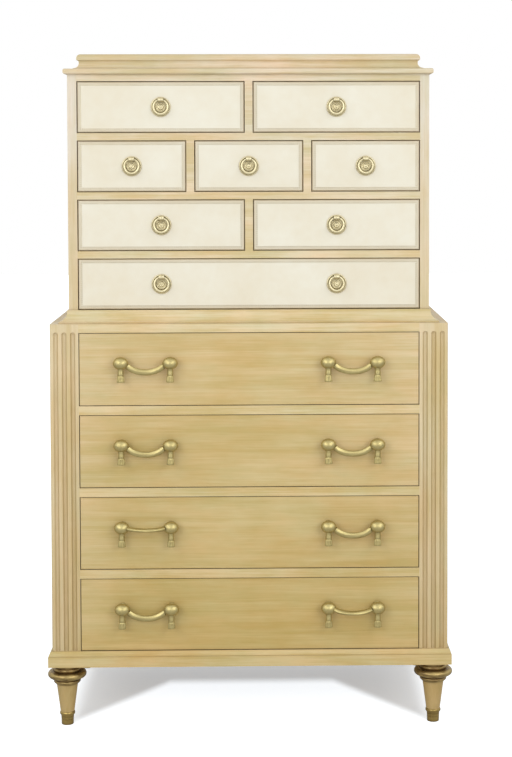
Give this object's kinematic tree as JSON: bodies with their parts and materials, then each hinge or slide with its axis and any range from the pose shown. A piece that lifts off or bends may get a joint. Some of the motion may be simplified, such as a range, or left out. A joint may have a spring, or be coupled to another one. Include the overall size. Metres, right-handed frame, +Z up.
{
  "type": "chest on chest",
  "caption": "Tall two-part chest of drawers: a leather-faced upper case with ring pulls on a wider lower case with fluted corner posts, bail pulls and turned feet.",
  "frame": {"origin": "centre of the bounding box on the floor", "axes": "+Z up, drawer fronts face -Y, +X to the right seen from the front"},
  "size_m": [0.9213, 0.5402, 1.5215],
  "materials": {
    "case_wood": "satin lacquer over pale tan wood with soft grain",
    "inner_wood": "plain sealed secondary wood",
    "brass": "pale antique brass, polished on high spots",
    "steel": "zinc-plated screws and bolts",
    "leather": "cream leather drawer faces edged with small nails"
  },
  "bodies": {
    "root": {"lower_sides": "case_wood", "lower_back": "inner_wood", "lower_boards": "inner_wood", "corner_posts": "case_wood", "lower_rails": "case_wood", "lower_runners": "inner_wood", "lower_dust_panels": "inner_wood", "base_moulding": "case_wood", "feet": "case_wood", "ferrules": "brass", "fixings": "steel", "waist_moulding": "case_wood", "upper_sides": "case_wood", "upper_back": "inner_wood", "upper_face_frame": "case_wood", "upper_boards": "inner_wood", "upper_partitions": "inner_wood", "cornice_ledge": "case_wood", "cornice_cap": "case_wood"},
    "drawer_fourth": {"drawer_fourth": "case_wood", "ring_plates_fourth": "brass"},
    "ring_fourth_left": {"ring_fourth_left": "brass"},
    "ring_fourth_right": {"ring_fourth_right": "brass"},
    "drawer_third_left": {"drawer_third_left": "case_wood", "ring_plates_third_left": "brass"},
    "ring_third_left": {"ring_third_left": "brass"},
    "drawer_third_right": {"drawer_third_right": "case_wood", "ring_plates_third_right": "brass"},
    "ring_third_right": {"ring_third_right": "brass"},
    "drawer_second_left": {"drawer_second_left": "case_wood", "ring_plates_second_left": "brass"},
    "ring_second_left": {"ring_second_left": "brass"},
    "drawer_second_middle": {"drawer_second_middle": "case_wood", "ring_plates_second_middle": "brass"},
    "ring_second_middle": {"ring_second_middle": "brass"},
    "drawer_second_right": {"drawer_second_right": "case_wood", "ring_plates_second_right": "brass"},
    "ring_second_right": {"ring_second_right": "brass"},
    "drawer_top_left": {"drawer_top_left": "case_wood", "ring_plates_top_left": "brass"},
    "ring_top_left": {"ring_top_left": "brass"},
    "drawer_top_right": {"drawer_top_right": "case_wood", "ring_plates_top_right": "brass"},
    "ring_top_right": {"ring_top_right": "brass"},
    "drawer_eighth": {"drawer_eighth": "case_wood", "pull_posts_eighth": "brass"},
    "bail_eighth_left": {"bail_eighth_left": "brass"},
    "bail_eighth_right": {"bail_eighth_right": "brass"},
    "drawer_seventh": {"drawer_seventh": "case_wood", "pull_posts_seventh": "brass"},
    "bail_seventh_left": {"bail_seventh_left": "brass"},
    "bail_seventh_right": {"bail_seventh_right": "brass"},
    "drawer_sixth": {"drawer_sixth": "case_wood", "pull_posts_sixth": "brass"},
    "bail_sixth_left": {"bail_sixth_left": "brass"},
    "bail_sixth_right": {"bail_sixth_right": "brass"},
    "drawer_fifth": {"drawer_fifth": "case_wood", "pull_posts_fifth": "brass"},
    "bail_fifth_left": {"bail_fifth_left": "brass"},
    "bail_fifth_right": {"bail_fifth_right": "brass"}
  },
  "joints": [
    {"name": "drawer_fourth_slide", "type": "slide", "parent": "root", "child": "drawer_fourth", "axis": [0, -1, 0], "range_m": [0, 0.33]},
    {"name": "ring_fourth_left_swing", "type": "hinge", "parent": "drawer_fourth", "child": "ring_fourth_left", "pos_m": [-0.19768, -0.19695, 1.01835], "axis": [-1, 0, 0], "range_deg": [0, 165]},
    {"name": "ring_fourth_right_swing", "type": "hinge", "parent": "drawer_fourth", "child": "ring_fourth_right", "pos_m": [0.19768, -0.19695, 1.01835], "axis": [-1, 0, 0], "range_deg": [0, 165]},
    {"name": "drawer_third_left_slide", "type": "slide", "parent": "root", "child": "drawer_third_left", "axis": [0, -1, 0], "range_m": [0, 0.33]},
    {"name": "ring_third_left_swing", "type": "hinge", "parent": "drawer_third_left", "child": "ring_third_left", "pos_m": [-0.19768, -0.19695, 1.15135], "axis": [-1, 0, 0], "range_deg": [0, 165]},
    {"name": "drawer_third_right_slide", "type": "slide", "parent": "root", "child": "drawer_third_right", "axis": [0, -1, 0], "range_m": [0, 0.33]},
    {"name": "ring_third_right_swing", "type": "hinge", "parent": "drawer_third_right", "child": "ring_third_right", "pos_m": [0.19768, -0.19695, 1.15135], "axis": [-1, 0, 0], "range_deg": [0, 165]},
    {"name": "drawer_second_left_slide", "type": "slide", "parent": "root", "child": "drawer_second_left", "axis": [0, -1, 0], "range_m": [0, 0.33]},
    {"name": "ring_second_left_swing", "type": "hinge", "parent": "drawer_second_left", "child": "ring_second_left", "pos_m": [-0.26357, -0.19695, 1.28435], "axis": [-1, 0, 0], "range_deg": [0, 165]},
    {"name": "drawer_second_middle_slide", "type": "slide", "parent": "root", "child": "drawer_second_middle", "axis": [0, -1, 0], "range_m": [0, 0.33]},
    {"name": "ring_second_middle_swing", "type": "hinge", "parent": "drawer_second_middle", "child": "ring_second_middle", "pos_m": [0, -0.19695, 1.28435], "axis": [-1, 0, 0], "range_deg": [0, 165]},
    {"name": "drawer_second_right_slide", "type": "slide", "parent": "root", "child": "drawer_second_right", "axis": [0, -1, 0], "range_m": [0, 0.33]},
    {"name": "ring_second_right_swing", "type": "hinge", "parent": "drawer_second_right", "child": "ring_second_right", "pos_m": [0.26357, -0.19695, 1.28435], "axis": [-1, 0, 0], "range_deg": [0, 165]},
    {"name": "drawer_top_left_slide", "type": "slide", "parent": "root", "child": "drawer_top_left", "axis": [0, -1, 0], "range_m": [0, 0.33]},
    {"name": "ring_top_left_swing", "type": "hinge", "parent": "drawer_top_left", "child": "ring_top_left", "pos_m": [-0.19768, -0.19695, 1.41735], "axis": [-1, 0, 0], "range_deg": [0, 165]},
    {"name": "drawer_top_right_slide", "type": "slide", "parent": "root", "child": "drawer_top_right", "axis": [0, -1, 0], "range_m": [0, 0.33]},
    {"name": "ring_top_right_swing", "type": "hinge", "parent": "drawer_top_right", "child": "ring_top_right", "pos_m": [0.19768, -0.19695, 1.41735], "axis": [-1, 0, 0], "range_deg": [0, 165]},
    {"name": "drawer_eighth_slide", "type": "slide", "parent": "root", "child": "drawer_eighth", "axis": [0, -1, 0], "range_m": [0, 0.36]},
    {"name": "bail_eighth_left_swing", "type": "hinge", "parent": "drawer_eighth", "child": "bail_eighth_left", "pos_m": [-0.232, -0.24235, 0.274], "axis": [-1, 0, 0], "range_deg": [-30, 110]},
    {"name": "bail_eighth_right_swing", "type": "hinge", "parent": "drawer_eighth", "child": "bail_eighth_right", "pos_m": [0.232, -0.24235, 0.274], "axis": [-1, 0, 0], "range_deg": [-102, 38]},
    {"name": "drawer_seventh_slide", "type": "slide", "parent": "root", "child": "drawer_seventh", "axis": [0, -1, 0], "range_m": [0, 0.36]},
    {"name": "bail_seventh_left_swing", "type": "hinge", "parent": "drawer_seventh", "child": "bail_seventh_left", "pos_m": [-0.232, -0.24235, 0.4593], "axis": [-1, 0, 0], "range_deg": [-115, 25]},
    {"name": "bail_seventh_right_swing", "type": "hinge", "parent": "drawer_seventh", "child": "bail_seventh_right", "pos_m": [0.232, -0.24235, 0.4593], "axis": [-1, 0, 0], "range_deg": [-30, 110]},
    {"name": "drawer_sixth_slide", "type": "slide", "parent": "root", "child": "drawer_sixth", "axis": [0, -1, 0], "range_m": [0, 0.36]},
    {"name": "bail_sixth_left_swing", "type": "hinge", "parent": "drawer_sixth", "child": "bail_sixth_left", "pos_m": [-0.232, -0.24235, 0.6446], "axis": [-1, 0, 0], "range_deg": [-30, 110]},
    {"name": "bail_sixth_right_swing", "type": "hinge", "parent": "drawer_sixth", "child": "bail_sixth_right", "pos_m": [0.232, -0.24235, 0.6446], "axis": [-1, 0, 0], "range_deg": [-30, 110]},
    {"name": "drawer_fifth_slide", "type": "slide", "parent": "root", "child": "drawer_fifth", "axis": [0, -1, 0], "range_m": [0, 0.36]},
    {"name": "bail_fifth_left_swing", "type": "hinge", "parent": "drawer_fifth", "child": "bail_fifth_left", "pos_m": [-0.232, -0.24235, 0.8299], "axis": [-1, 0, 0], "range_deg": [-30, 110]},
    {"name": "bail_fifth_right_swing", "type": "hinge", "parent": "drawer_fifth", "child": "bail_fifth_right", "pos_m": [0.232, -0.24235, 0.8299], "axis": [-1, 0, 0], "range_deg": [-30, 110]}
  ]
}
